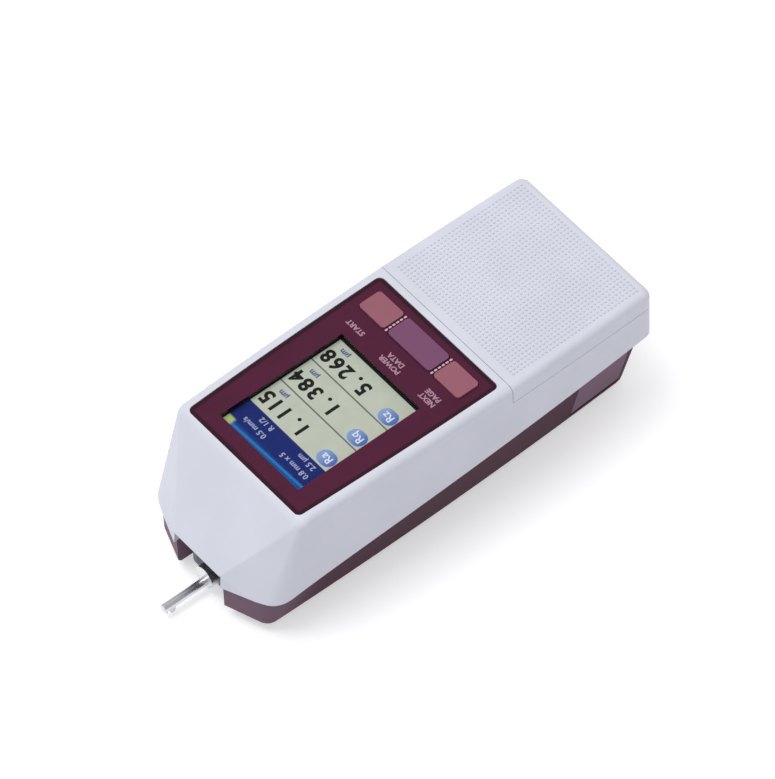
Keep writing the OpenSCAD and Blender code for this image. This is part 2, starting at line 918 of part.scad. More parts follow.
// Door over the connectors, on two pins along its lower edge
module connector_door() {
    color([0.36, 0.29, 0.34]) {
        difference() {
            intersection() {
                base_form(0);
                block([door_x0, -body_w, door_axis_z], [door_x1, 0, door_top_z]);
            }
            base_form(door_t);
        }
        door_rod(0, door_barrel_r);
        door_rod(door_gap + door_pin_l, door_pin_r);
    }
}

// Upright circuit board behind the connector door
module port_board() {
    color([0.1, 0.4, 0.22])
        block([door_x0 + port_board_end, port_board_y, base_z + wall + touch_gap],
            [door_x1 - port_board_end, port_board_y + board_t, door_top_z]);
}

// Block of a socket on the port board, l along the board and h high
module port(x, l, h) {
    block([x, port_board_y - port_t, port_z - h / 2], [x + l, port_board_y, port_z + h / 2]);
}

// Mouth of a socket, with a skin left round it
module port_mouth(x, l, h, skin) {
    block([x + skin, port_board_y - port_t - over, port_z - h / 2 + skin],
        [x + l - skin, port_board_y - port_floor, port_z + h / 2 - skin]);
}

// Inlet for the mains adapter's plug
module power_jack() {
    color([0.12, 0.12, 0.13])
        difference() {
            port(jack_x, jack_l, jack_h);
            translate([jack_x + jack_l / 2, port_board_y - port_floor, port_z])
                rotate([90, 0, 0])
                    cylinder(d = jack_hole_d, h = port_t);
        }
}

// Small shielded data socket
module usb_socket() {
    color([0.72, 0.73, 0.75])
        difference() {
            port(usb_x, usb_l, usb_h);
            port_mouth(usb_x, usb_l, usb_h, usb_skin);
        }
}

// Wider socket for a printer or logger
module data_socket() {
    color([0.15, 0.15, 0.16])
        difference() {
            port(data_x, data_l, data_h);
            port_mouth(data_x, data_l, data_h, data_skin);
        }
}

// Cross-section of the drive housing, cut down by t on every side
module drive_section(t) {
    w = drive_w / 2 - t;
    c = drive_chamfer;
    polygon([
        [t, -w + c], [t + c, -w], [drive_h - t - c, -w], [drive_h - t, -w + c],
        [drive_h - t, w - c], [drive_h - t - c, w], [t + c, w], [t, w - c]
    ]);
}

// Extrudes a cross-section of the drive unit from x0 to x1
module along_drive(x0, x1) {
    translate([x1, 0, 0])
        rotate([0, -90, 0])
            linear_extrude(x1 - x0)
                children();
}

// Slot that the skid passes through under the detector
module skid_notch() {
    block([drive_x0 - over, -notch_hw, -over], [skid_x + skid_r + stroke + over, notch_hw, detector_z]);
}

// Drive housing: chamfered tube that the instrument stands on
module drive_housing() {
    color([0.4, 0.42, 0.46])
        difference() {
            along_drive(drive_x0, drive_x1)
                drive_section(0);
            along_drive(drive_x0 - over, drive_x1 + over)
                drive_section(drive_wall);
            skid_notch();
        }
}

// Front plate of the drive unit: detector opening, rod seats and a bearing pocket
module drive_front_plate() {
    color([0.32, 0.33, 0.36])
        difference() {
            along_drive(drive_x0, drive_x0 + plate_t)
                drive_section(drive_wall + press_fit);
            rod_x(drive_x0 - over, drive_x0 + plate_t + over, 0, detector_z, detector_d + 2 * detector_gap);
            skid_notch();
            for (side = [-1, 1])
                rod_x(drive_x0 + plate_t / 2, drive_x0 + plate_t + over, side * rod_pitch / 2, axis_z,
                    rod_d + 2 * press_fit);
            rod_x(drive_x0 + plate_t - bearing_w, drive_x0 + plate_t + over, 0, axis_z,
                bearing_d + 2 * bearing_fit);
        }
}

// Rear cap of the drive unit with the opening for its plug
module drive_rear_cap() {
    color([0.32, 0.33, 0.36])
        difference() {
            along_drive(drive_x1 - cap_t, drive_x1)
                drive_section(drive_wall + press_fit);
            block([drive_x1 - cap_t - over, -plug_hw - plug_fit, plug_z0 - plug_fit],
                [drive_x1 + over, plug_hw + plug_fit, plug_z0 + plug_h + plug_fit]);
        }
}

// Two rods that guide the carriage
module guide_rods() {
    color([0.8, 0.81, 0.83])
        for (side = [-1, 1])
            rod_x(drive_x0 + plate_t / 2, bulkhead_x1, side * rod_pitch / 2, axis_z, rod_d);
}

// Inner wall that holds the far ends of rods and lead screw
module drive_bulkhead() {
    color([0.5, 0.52, 0.55])
        difference() {
            along_drive(bulkhead_x0, bulkhead_x1)
                drive_section(drive_wall + inner_fit);
            for (side = [-1, 1])
                rod_x(bulkhead_x0 - over, bulkhead_x1 + over, side * rod_pitch / 2, axis_z,
                    rod_d + 2 * press_fit);
            rod_x(bulkhead_x0 - over, bulkhead_x0 + bearing_w, 0, axis_z, bearing_d + 2 * bearing_fit);
            rod_x(bulkhead_x0, bulkhead_x1 + over, 0, axis_z, screw_d + 2 * screw_room);
        }
}

// Plate that the gear motor is fixed to
module motor_bracket() {
    color([0.5, 0.52, 0.55])
        difference() {
            along_drive(bracket_x0, bracket_x1)
                drive_section(drive_wall + inner_fit);
            rod_x(bracket_x0 - over, bracket_x1 + over, 0, axis_z, coupling_d + 2 * coupling_gap);
        }
}

// Gear motor that turns the lead screw
module drive_motor() {
    color([0.62, 0.63, 0.66])
        difference() {
            rod_x(motor_x0, motor_x0 + motor_l, 0, axis_z, motor_d);
            rod_x(motor_x0 - over, motor_x0 + shaft_hole, 0, axis_z, shaft_d + 2 * run_fit);
        }
}

// Circuit board of the drive unit
module drive_board() {
    x0 = bracket_x1 + drive_board_lead;
    x1 = drive_x1 - cap_t - drive_board_end;
    hw = drive_w / 2 - drive_wall - drive_board_side;
    z = drive_wall + touch_gap;
    color([0.1, 0.4, 0.22]) {
        block([x0, -hw, z], [x1, hw, z + board_t]);
        for (k = drive_chip_at)
            chip(x0 + (x1 - x0) * k, 0, z + board_t, drive_chip_l, drive_chip_w);
    }
}

// Plug of the drive unit, through its rear cap into the case
module drive_plug() {
    color([0.1, 0.1, 0.11])
        block([drive_x1 - cap_t - plug_root, -plug_hw, plug_z0],
            [tunnel_x1 - plug_end_gap, plug_hw, plug_z0 + plug_h]);
}

// Socket in the lower case that the drive unit's plug meets
module drive_socket() {
    color([0.15, 0.15, 0.16])
        block([tunnel_x1 + touch_gap, -plug_hw - socket_rim, base_z + wall + touch_gap],
            [tunnel_x1 + socket_l, plug_hw + socket_rim, plug_z0 + plug_h + socket_rim]);
}

// Two bearings of the lead screw
module screw_bearings() {
    color([0.75, 0.76, 0.78])
        for (x = [drive_x0 + plate_t - bearing_w, bulkhead_x0])
            difference() {
                rod_x(x, x + bearing_w, 0, axis_z, bearing_d);
                rod_x(x - over, x + bearing_w + over, 0, axis_z, screw_d + 2 * run_fit);
            }
}

// Lead screw that moves the carriage
module lead_screw() {
    color([0.7, 0.71, 0.73])
        rod_x(drive_x0 + plate_t - bearing_w + screw_end_gap, bulkhead_x1 + coupling_grip, 0, axis_z,
            screw_d);
}

// Sleeve that joins motor shaft and lead screw, with the shaft in it
module screw_coupling() {
    x0 = bulkhead_x1 + coupling_gap;
    color([0.6, 0.5, 0.25]) {
        difference() {
            rod_x(x0, bracket_x1 - coupling_gap, 0, axis_z, coupling_d);
            rod_x(x0 - over, bulkhead_x1 + coupling_grip + press_fit, 0, axis_z, screw_d + 2 * press_fit);
        }
        rod_x(bracket_x0, bracket_x1 + shaft_l, 0, axis_z, shaft_d);
    }
}

// Carriage on the guide rods with the nut bore and the detector socket
module carriage() {
    color([0.55, 0.57, 0.6])
        difference() {
            block([carriage_x0, -carriage_hw, drive_wall + carriage_floor],
                [carriage_x1, carriage_hw, axis_z + carriage_cap]);
            for (side = [-1, 1])
                rod_x(carriage_x0 - over, carriage_x1 + over, side * rod_pitch / 2, axis_z,
                    rod_d + 2 * run_fit);
            rod_x(carriage_x0 - over, carriage_x1 + over, 0, axis_z, screw_d + 2 * run_fit);
            rod_x(carriage_x0 - over, carriage_x0 + probe_plug_l + shoulder_gap, 0, detector_z,
                probe_plug_d + 2 * press_fit);
        }
}

// Detector body: tube with the stylus chamber and the plug that holds it in the carriage
module detector_body() {
    color([0.25, 0.26, 0.29]) {
        difference() {
            rod_x(body_x0, body_x1, 0, detector_z, detector_d);
            rod_x(body_x0 - over, pipe_x1, 0, pipe_z, pipe_d + 2 * press_fit);
            block([chamber_x0, -chamber_hw, chamber_z0], [chamber_x1, chamber_hw, chamber_z1]);
            rod_y(pivot_x, pipe_z, pivot_d + 2 * press_fit, detector_d + 2 * over);
        }
        rod_x(body_x1 - over, body_x1 + shoulder_gap + probe_plug_l, 0, detector_z, probe_plug_d);
    }
}

// Bright nose pipe with the skid beside the stylus opening
module nose_pipe() {
    color([0.8, 0.81, 0.83])
        difference() {
            union() {
                rod_x(x_tip, pipe_x1 - pipe_stop, 0, pipe_z, pipe_d);
                block([skid_x - skid_r, -skid_w / 2, skid_z], [skid_x + skid_r, skid_w / 2, pipe_z]);
                rod_y(skid_x, skid_z, 2 * skid_r, skid_w);
            }
            rod_x(x_tip + pipe_wall, pipe_x1 + over, 0, pipe_z, pipe_d - 2 * pipe_wall);
            block([stylus_x - slot_hl, -slot_hw, 0], [stylus_x + slot_hl, slot_hw, pipe_z]);
        }
}

// Pin that the stylus arm turns on
module pivot_pin() {
    half_chord = sqrt(pow(detector_d / 2, 2) - pow(detector_z - pipe_z, 2));
    color([0.8, 0.81, 0.83])
        rod_y(pivot_x, pipe_z, pivot_d, 2 * (half_chord - pivot_setback));
}

// Coil that senses the stylus arm
module pickup_coil() {
    color([0.7, 0.4, 0.2])
        translate([coil_x, 0, coil_z0])
            cylinder(d = coil_d, h = chamber_z1 - coil_z0);
}

// Stylus arm with hub and point
module stylus_arm() {
    color([0.6, 0.61, 0.63])
        difference() {
            union() {
                rod_x(stylus_x - stylus_d / 2, coil_x + coil_d / 2, 0, pipe_z, arm_d);
                rod_y(pivot_x, pipe_z, hub_d, 2 * (chamber_hw - hub_gap));
                translate([stylus_x, 0, tip_lift + point_h])
                    cylinder(d = stylus_d, h = pipe_z - tip_lift - point_h);
                translate([stylus_x, 0, tip_lift])
                    cylinder(d1 = point_d, d2 = stylus_d, h = point_h);
            }
            rod_y(pivot_x, pipe_z, pivot_d + 2 * pivot_fit, detector_d);
        }
}

upper_cover();
front_panel();
display_window();
display_module();
key_board();
start_key();
data_key();
page_key();
slide_cover();
keypad_deck();
keypad_membrane();
up_key();
down_key();
left_key();
right_key();
enter_key();
escape_key();
blue_key();
red_key();
lower_case();
main_board();
battery_pack();
case_screws();
connector_door();
port_board();
power_jack();
usb_socket();
data_socket();
drive_housing();
drive_front_plate();
drive_rear_cap();
guide_rods();
drive_bulkhead();
motor_bracket();
drive_motor();
drive_board();
drive_plug();
drive_socket();
screw_bearings();
lead_screw();
screw_coupling();
carriage();
detector_body();
nose_pipe();
pivot_pin();
pickup_coil();
stylus_arm();
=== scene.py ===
# %% [markdown]
# # A hand-held surface roughness tester
# The instrument is a white moulded case with a display and three keys on top, a sliding cover over a
# second set of keys, a maroon tub below, and a drive unit that draws a fine stylus over a workpiece.
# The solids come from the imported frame, in metres, and this lesson gives them their finish and adds
# the small things that a solid model leaves out: grip dots, legends, the picture on the display, the
# thread of the lead screw and screw recesses. Lengths are written in millimetres, times MM.

# %% Load the frame
import json
import math
import bmesh
import bpy
from mathutils import Matrix, Vector

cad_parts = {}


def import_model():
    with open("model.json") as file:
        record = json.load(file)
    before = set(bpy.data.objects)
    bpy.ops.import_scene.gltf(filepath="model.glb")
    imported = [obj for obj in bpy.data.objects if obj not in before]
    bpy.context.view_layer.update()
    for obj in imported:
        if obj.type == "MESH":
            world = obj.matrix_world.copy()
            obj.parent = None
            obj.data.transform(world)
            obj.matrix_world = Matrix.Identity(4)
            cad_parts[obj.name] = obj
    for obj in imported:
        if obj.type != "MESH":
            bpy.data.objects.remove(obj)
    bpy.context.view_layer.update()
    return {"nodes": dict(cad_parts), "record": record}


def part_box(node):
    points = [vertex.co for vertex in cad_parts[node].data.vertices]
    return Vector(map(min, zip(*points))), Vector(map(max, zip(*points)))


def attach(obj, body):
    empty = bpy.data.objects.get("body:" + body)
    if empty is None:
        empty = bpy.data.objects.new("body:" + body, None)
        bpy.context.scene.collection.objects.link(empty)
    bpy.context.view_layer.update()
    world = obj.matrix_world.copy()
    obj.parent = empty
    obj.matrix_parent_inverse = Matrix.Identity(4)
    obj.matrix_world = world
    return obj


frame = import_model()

MM = 0.001
scene = bpy.context.scene
scene.view_settings.view_transform = "Standard"
bodies = frame["record"]["behaviour"]["bodies"]
body_of = {node: body for body, nodes in bodies.items() for node in nodes}

# %% [markdown]
# ## Camera
# The photograph was taken from high up, in front of the stylus end and to the right of the display,
# with a long lens: parallel edges stay almost parallel. A camera 2.5 m away with a 370 mm lens gives
# the same flat perspective. It is aimed at one point, so no lens shift is needed.

# %% Camera
AZIMUTH, ELEVATION = math.radians(-40.1), math.radians(52.8)
AIM = Vector((16.1, 13.9, 15.9)) * MM
DISTANCE, FOCAL_PIXELS, FRAME_PIXELS, SENSOR = 2.53, 8000, 779, 36
toward_camera = Vector((math.sin(AZIMUTH) * math.cos(ELEVATION),
                        -math.cos(AZIMUTH) * math.cos(ELEVATION), math.sin(ELEVATION)))
lens = bpy.data.cameras.new("camera")
lens.sensor_width = SENSOR
lens.lens = FOCAL_PIXELS * SENSOR / FRAME_PIXELS
lens.clip_end = 20
camera = bpy.data.objects.new("camera", lens)
scene.collection.objects.link(camera)
camera.location = AIM + toward_camera * DISTANCE
camera.rotation_euler = toward_camera.to_track_quat("Z", "Y").to_euler()
scene.camera = camera
print("camera lens", round(lens.lens), "mm at", [round(v, 2) for v in camera.location])

# %% [markdown]
# ## Shader maths as Python
# A material is a graph of nodes, and drawing it by hand in code is long-winded. A small class wraps
# one socket, so that `1 - mask * 0.3` adds the Math nodes by itself. Every other node comes from one
# method that takes its type, its settings and its inputs.


# %% Socket wrapper
class Field:
    """One output socket of a material, usable in Python expressions."""

    def __init__(self, finish, socket):
        self.finish, self.socket = finish, socket

    def math(self, operation, other=None, swap=False):
        pair = (other, self) if swap else (self, other)
        values = {i: value for i, value in enumerate(pair) if value is not None}
        return self.finish.node("Math", {"operation": operation}, values)

    def __add__(self, other): return self.math("ADD", other)
    def __radd__(self, other): return self.math("ADD", other)
    def __sub__(self, other): return self.math("SUBTRACT", other)
    def __rsub__(self, other): return self.math("SUBTRACT", other, swap=True)
    def __mul__(self, other): return self.math("MULTIPLY", other)
    def __rmul__(self, other): return self.math("MULTIPLY", other)
    def __truediv__(self, other): return self.math("DIVIDE", other)
    def __rtruediv__(self, other): return self.math("DIVIDE", other, swap=True)
    def __abs__(self): return self.math("ABSOLUTE")
    def minimum(self, other): return self.math("MINIMUM", other)
    def maximum(self, other): return self.math("MAXIMUM", other)
    def fraction(self): return self.math("FRACT")

    def step(self, low, high):
        """0 below low, 1 above high and a smooth rise between them."""
        return self.finish.node("MapRange", {"interpolation_type": "SMOOTHSTEP"},
                                {"Value": self, "From Min": low, "From Max": high})


# %% Finish
class Finish:
    """A material built from expressions on Fields."""

    # Places of the colour sockets of a Mix node, which has one set of sockets for each kind of value
    FIRST, SECOND, MIXED = 6, 7, 2

    def __init__(self, name, **sockets):
        self.material = bpy.data.materials.new(name)
        self.material.use_nodes = True
        self.nodes = self.material.node_tree.nodes
        self.shader = self.nodes["Principled BSDF"]
        self.place = self.node("TexCoord", out="Object")
        self.set(**sockets)

    def node(self, kind, settings=None, inputs=None, out=0):
        made = self.nodes.new("ShaderNode" + kind)
        for name, value in (settings or {}).items():
            setattr(made, name, value)
        self.feed(made, inputs or {})
        return Field(self, made.outputs[out])

    def feed(self, node, inputs):
        for name, value in inputs.items():
            if isinstance(value, Field):
                self.material.node_tree.links.new(value.socket, node.inputs[name])
            else:
                node.inputs[name].default_value = value

    def set(self, **sockets):
        self.feed(self.shader, {name.replace("_", " "): value for name, value in sockets.items()})
        return self

    def along(self, axis):
        """Place of a point along X, Y or Z, in mm."""
        return self.node("SeparateXYZ", {}, {"Vector": self.place}, out=axis) / MM

    def noise(self, size_mm, detail, stretch=(1, 1, 1)):
        where = self.node("Mapping", {}, {"Vector": self.place, "Scale": stretch})
        return self.node("TexNoise", {}, {"Vector": where, "Scale": 1 / (size_mm * MM), "Detail": detail})

    def mix(self, share, first, second):
        return self.node("Mix", {"data_type": "RGBA"},
                         {0: share, self.FIRST: first, self.SECOND: second}, out=self.MIXED)

    def bump(self, height, depth_mm):
        return self.set(Normal=self.node("Bump", {}, {"Height": height, "Distance": depth_mm * MM}))


def colour(red, green, blue):
    """A display colour of 0 to 255 per channel as the linear colour that a shader takes."""
    shares = (red / 255, green / 255, blue / 255)
    linear = [((share + 0.055) / 1.055) ** 2.4 if share > 0.04 else share / 12.92 for share in shares]
    return (*linear, 1)


def shade(tint, factor):
    """A tint made darker or paler."""
    return (*(min(c * factor, 1) for c in tint[:3]), 1)


WHITE, BLACK = (1, 1, 1, 1), (0, 0, 0, 1)
print("shader helpers ready")

# %% [markdown]
# ## Stage and light
# Product pictures of this kind are cut out on white with a soft grey shadow. The floor is a plain
# white sheet. Where the camera sees it, directly or in metal and glass, it also glows a little, so
# that it reaches white where nothing shades it, and the shadow of the object still shows. An even
# world gives most of the light, and one large lamp high above the nose makes the top and the nose
# brighter than the sides and keeps the shadow short.

# %% Stage
FLOOR_HALF, FLOOR_DROP, FLOOR_GLOW = 3.0, 0.2 * MM, 0.45
LAMP_PLACE, LAMP_SIZE, LAMP_POWER = (-0.5, 0.5, 1.9), 1.2, 19
WORLD_STRENGTH = 0.58


def stage_floor():
    sheet = bpy.data.meshes.new("floor")
    signs = ((-1, -1), (1, -1), (1, 1), (-1, 1))
    sheet.from_pydata([(a * FLOOR_HALF, b * FLOOR_HALF, -FLOOR_DROP) for a, b in signs], [], [(0, 1, 2, 3)])
    floor = bpy.data.objects.new("floor", sheet)
    scene.collection.objects.link(floor)
    paper = Finish("white_paper", Base_Color=colour(235, 235, 238), Roughness=0.9)
    direct, mirrored, through = (paper.node("LightPath", out="Is %s Ray" % kind)
                                 for kind in ("Camera", "Glossy", "Transmission"))
    seen = direct.maximum(mirrored).maximum(through)
    glow = paper.node("Emission", {}, {"Color": WHITE, "Strength": FLOOR_GLOW})
    none = paper.node("Emission", {}, {"Color": BLACK, "Strength": 0.0})
    switch = paper.node("MixShader", {}, {0: seen, 1: none, 2: glow})
    both = paper.node("AddShader", {}, {0: switch, 1: Field(paper, paper.shader.outputs[0])})
    paper.feed(paper.nodes["Material Output"], {"Surface": both})
    sheet.materials.append(paper.material)


def soft_lamp(name, place, size, power):
    lamp = bpy.data.lights.new(name, "AREA")
    lamp.size, lamp.energy = size, power
    holder = bpy.data.objects.new(name, lamp)
    scene.collection.objects.link(holder)
    holder.location = place
    holder.rotation_euler = Vector(place).to_track_quat("Z", "Y").to_euler()


def even_world(strength):
    world = bpy.data.worlds.new("studio")
    scene.world = world
    world.use_nodes = True
    world.node_tree.nodes["Background"].inputs["Color"].default_value = WHITE
    world.node_tree.nodes["Background"].inputs["Strength"].default_value = strength


stage_floor()
soft_lamp("window", LAMP_PLACE, LAMP_SIZE, LAMP_POWER)
even_world(WORLD_STRENGTH)
print("floor, one large lamp and a world")

# %% [markdown]
# ## Moulded plastics
# Every plastic part of the case comes out of a spark-eroded mould, so it has a very fine grain and is
# never quite even in tone. A picture of the grain would have to be wrapped round each part. Noise in
# object space needs no wrapping, and it is fine enough here to break up reflections only. The maroon
# tub and its door are duller than the rest, which a low index of refraction gives. Toward its legs
# the tub's tint pales as a painted sheen of reflected light, so its tint also follows the place along X.

# %% Moulded plastics
FINISHES = {}
SATIN_IOR, MATT_IOR = 1.46, 1.12
GRAIN_SIZE, GRAIN_DEPTH, GRAIN_DETAIL = 0.32, 0.012, 2
DRIFT_SIZE, DRIFT_DETAIL, DRIFT_LOW, DRIFT_HIGH = 22, 3, 0.3, 0.7
SHEEN_FROM, SHEEN_TO = -44, -72


def keep(slot, finish):
    """Files a finish under the name of the record's material slot that it is for."""
    FINISHES[slot] = finish


def moulded(slot, tint, roughness, ior=SATIN_IOR, sheen_tint=None):
    """Grained plastic. With a sheen_tint, the colour drifts to that tint toward the stylus end as painted
    sheen.
    """
    finish = Finish(slot + "_finish", IOR=ior)
    drift = finish.noise(DRIFT_SIZE, DRIFT_DETAIL)
    grain = finish.noise(GRAIN_SIZE, GRAIN_DETAIL)
    tone = finish.mix(drift.step(DRIFT_LOW, DRIFT_HIGH), shade(tint, 0.95), tint)
    # Painted sheen: toward the stylus end the tint pales to stand in for reflected light.
    if sheen_tint:
        tone = finish.mix(finish.along("X").step(SHEEN_FROM, SHEEN_TO), tone, sheen_tint)
    finish.set(Base_Color=tone, Roughness=roughness + (grain - 0.5) * 0.12)
    finish.bump(grain, GRAIN_DEPTH)
    keep(slot, finish)


PLASTICS = {
    "white_plastic": ((222, 224, 237), 0.45), "dark_plastic": ((74, 52, 62), 0.5),
    "pink_key": ((154, 91, 107), 0.42), "violet_key": ((120, 69, 107), 0.42),
    "grey_key": ((200, 202, 210), 0.5), "enter_key": ((160, 164, 176), 0.5),
    "blue_key": ((58, 92, 176), 0.5), "red_key": ((182, 60, 64), 0.5),
    "socket_black": ((34, 34, 37), 0.45), "rubber": ((52, 52, 56), 0.75),
}
for slot, (tint, roughness) in PLASTICS.items():
    moulded(slot, colour(*tint), roughness)
# The tub's paler tint toward the nose is painted sheen, not a colour of the plastic.
moulded("maroon_case", colour(76, 43, 60), 0.5, MATT_IOR, colour(125, 102, 118))
moulded("door_plastic", colour(126, 99, 118), 0.5, MATT_IOR)
print(len(FINISHES), "moulded plastics")

# %% [markdown]
# ## Front panel
# The panel is a flat maroon plate with a darker line of painted shade round its edge, where its sloped
# rim lies in shade. The line could be a separate ring, but a distance does it better: the panel's
# outline is known, so the distance of a point to the nearest edge is one expression, and the line
# follows the bow of the sides. Below its face, the walls of the openings get painted shade, almost black.

# %% Front panel finish
SIDE_BOW, BOW_HALF, WIDEST_X = 1.6, 80, 29.5
EDGE_SHADE_FROM, EDGE_SHADE_TO = 0.9, 1.9
WALL_SHADE_FROM, WALL_SHADE_TO = 51.8, 51.7


def panel_finish(tint):
    low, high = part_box("front_panel")
    finish = Finish("maroon_panel_finish", IOR=1.28)
    x, y, z = (finish.along(axis) for axis in "XYZ")
    reach = (x - WIDEST_X) / BOW_HALF
    to_side = high.y / MM - reach * reach * SIDE_BOW - abs(y)
    to_end = (x - low.x / MM).minimum(high.x / MM - x)
    # Painted shade: a dark line along the edge stands in for the shade on the panel's sloped rim.
    out_of_edge_shade = to_side.minimum(to_end).step(EDGE_SHADE_FROM, EDGE_SHADE_TO)
    grain = finish.noise(0.25, 2)
    cloud = finish.noise(14, 3).step(0.3, 0.7)
    face = finish.mix(out_of_edge_shade, shade(tint, 0.4), finish.mix(cloud, shade(tint, 0.93), shade(tint, 1.05)))
    # Painted shade: below the face, the walls of the openings are darkened almost to black.
    tone = finish.mix(z.step(WALL_SHADE_FROM, WALL_SHADE_TO), face, shade(tint, 0.12))
    finish.set(Base_Color=tone, Roughness=0.34 + (grain - 0.5) * 0.1)
    finish.bump(grain, 0.006)
    keep("maroon_panel", finish)


panel_finish(colour(80, 24, 54))
print("panel with a dark edge line")

# %% [markdown]
# ## Metals
# Turned and drawn parts carry fine lines along or round the part. One noise, squeezed along the
# direction of the lines, drives both the roughness and a very shallow bump. A bright part gets a low
# roughness, a cast or plated one a higher one.

# %% Metals
LINE_SIZE, LINE_DETAIL, LINE_STRETCH, LINE_DEPTH = 0.12, 3, (0.05, 1, 1), 0.004
METALS = {
    "screw_steel": ((150, 152, 156), 0.3), "bright_steel": ((214, 216, 220), 0.28),
    "socket_shell": ((188, 190, 194), 0.28), "drive_metal": ((122, 126, 134), 0.4),
    "plate_metal": ((96, 101, 110), 0.38), "motor_shell": ((176, 178, 182), 0.3),
    "coupling_brass": ((196, 164, 96), 0.28), "detector_metal": ((226, 228, 231), 0.3),
    "coil_copper": ((188, 112, 70), 0.32),
}


def metal(slot, tint, roughness):
    finish = Finish(slot + "_finish", Metallic=1.0)
    lines = finish.noise(LINE_SIZE, LINE_DETAIL, LINE_STRETCH)
    tone = finish.mix(finish.noise(6, 2), shade(tint, 0.9), tint)
    finish.set(Base_Color=tone, Roughness=roughness + (lines - 0.5) * 0.25)
    finish.bump(lines, LINE_DEPTH)
    keep(slot, finish)


for slot, (tint, roughness) in METALS.items():
    metal(slot, colour(*tint), roughness)
print(len(METALS), "metals")

# %% [markdown]
# ## Boards, cells and the display
# The circuit boards are green lacquer over copper tracks: a brick pattern of thin lines, lifted a
# little. The battery is wrapped in blue film with a pale band. The display module is dark glass in a
# frame, and its window is clear plastic that mostly lets light through.

# %% Circuit boards
TRACK_SCALE, TRACK_WIDTH, PAD_SCALE, PAD_OUT, PAD_IN = 140.0, 0.012, 260.0, 0.16, 0.12
CHIP_RISE = 0.1


def board_finish(name, chip_z=None):
    """Lacquered board. Above the height chip_z, in mm, the dark resin of its components begins."""
    finish = Finish(name, Roughness=0.35, Coat_Weight=0.4)
    bricks = {"Vector": finish.place, "Scale": TRACK_SCALE, "Mortar Size": TRACK_WIDTH}
    tracks = finish.node("TexBrick", {"offset": 0.35, "squash": 0.7}, bricks, out="Fac")
    dots = finish.node("TexVoronoi", {}, {"Vector": finish.place, "Scale": PAD_SCALE}, out="Distance")
    pads = dots.step(PAD_OUT, PAD_IN)
    lacquer = finish.mix(tracks, colour(24, 84, 58), colour(52, 122, 84))
    tone = finish.mix(pads, lacquer, colour(206, 190, 138))
    shine = pads * 0.8
    if chip_z is not None:
        chips = finish.along("Z").step(chip_z, chip_z + CHIP_RISE)
        tone = finish.mix(chips, tone, colour(44, 45, 48))
        shine = shine * (1 - chips)
    finish.set(Base_Color=tone, Metallic=shine)
    finish.bump(tracks + pads, 0.02)
    return finish


keep("circuit_board", board_finish("circuit_board_finish"))
BOARDS = {node: board_finish(node + "_finish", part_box(node)[0].z / MM + thickness)
          for node, thickness in (("main_board", 1.65), ("drive_board", 1.65), ("key_board", 1.25))}
print(len(BOARDS), "boards with components and a plain one")

# %% Cells and the display
BAND_HALF, BAND_RIM = 8.6, 0.4
MODULE_CELL = 0.4


def wrap_finish():
    finish = Finish("cell_wrap_finish", Coat_Weight=0.5)
    low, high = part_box("battery_pack")
    from_middle = abs(finish.along("Y") - (low.y + high.y) / 2 / MM)
    band = from_middle.step(BAND_HALF + BAND_RIM, BAND_HALF)
    creases = finish.noise(1.6, 3, (1, 0.25, 1))
    tone = finish.mix(band, colour(44, 84, 150), colour(214, 218, 224))
    finish.set(Base_Color=tone, Roughness=0.3 + creases * 0.15)
    finish.bump(creases, 0.05)
    keep("cell_wrap", finish)


def window_finish():
    finish = Finish("clear_window_finish", Base_Color=colour(40, 46, 48), IOR=1.45, Alpha=0.06)
    smears = finish.noise(9, 4)
    finish.set(Roughness=0.05 + smears.step(0.45, 0.8) * 0.08)
    keep("clear_window", finish)


def module_finish():
    finish = Finish("display_finish", Coat_Weight=0.3)
    off_x, off_y = (abs((finish.along(axis) / MODULE_CELL).fraction() - 0.5) for axis in "XY")
    lines = off_x.maximum(off_y).step(0.42, 0.48)
    tone = finish.mix(lines, colour(58, 62, 60), colour(40, 43, 42))
    finish.set(Base_Color=tone, Roughness=0.3 + lines * 0.1)
    keep("display", finish)


wrap_finish()
window_finish()
module_finish()
print(len(FINISHES), "finishes in all")

# %% [markdown]
# ## Finishes onto the solids
# Each solid came in with a plain material named after its slot in the record. The finish filed under
# that name takes its place. Edges get a small rounding by a modifier, since no moulded or milled edge
# is perfectly sharp, and the modifier leaves the solid itself as it is.

# %% Finishes onto the solids
slot_of = {}
for node, obj in frame["nodes"].items():
    slot_of[node] = obj.material_slots[0].material.name.split(".")[0]
    obj.material_slots[0].material = BOARDS.get(node, FINISHES[slot_of[node]]).material
print(len(slot_of), "solids finished with", len(set(slot_of.values())), "slots")

# %% Rounded edges
JOIN_WITHIN, SHARP_ANGLE, EDGE_SEGMENTS, FACE_WEIGHT = 0.001, 35, 2, 50
ROUNDING = (
    (0.25, ("upper_cover", "slide_cover", "lower_case", "connector_door", "front_panel")),
    (0.35, ("start_key", "data_key", "page_key")),
    (0.3, ("up_key", "down_key", "left_key", "right_key")),
    (0.3, ("enter_key", "escape_key", "blue_key", "red_key")),
    (0.12, ("nose_pipe", "detector_body", "drive_housing", "drive_front_plate")),
    (0.12, ("power_jack", "data_socket")),
)


def soften(node, width_mm):
    """Joins a solid's facets, rounds its sharp edges and lets the large faces set the normals."""
    obj = frame["nodes"][node]
    obj.modifiers.new("join", "WELD").merge_threshold = JOIN_WITHIN * MM
    rounding = obj.modifiers.new("edges", "BEVEL")
    rounding.width, rounding.segments = width_mm * MM, EDGE_SEGMENTS
    rounding.limit_method, rounding.angle_limit = "ANGLE", math.radians(SHARP_ANGLE)
    rounding.use_clamp_overlap = True
    obj.modifiers.new("normals", "WEIGHTED_NORMAL").weight = FACE_WEIGHT


for width, nodes in ROUNDING:
    for node in nodes:
        soften(node, width)
print("edges rounded on the shells, keys, nose and sockets")

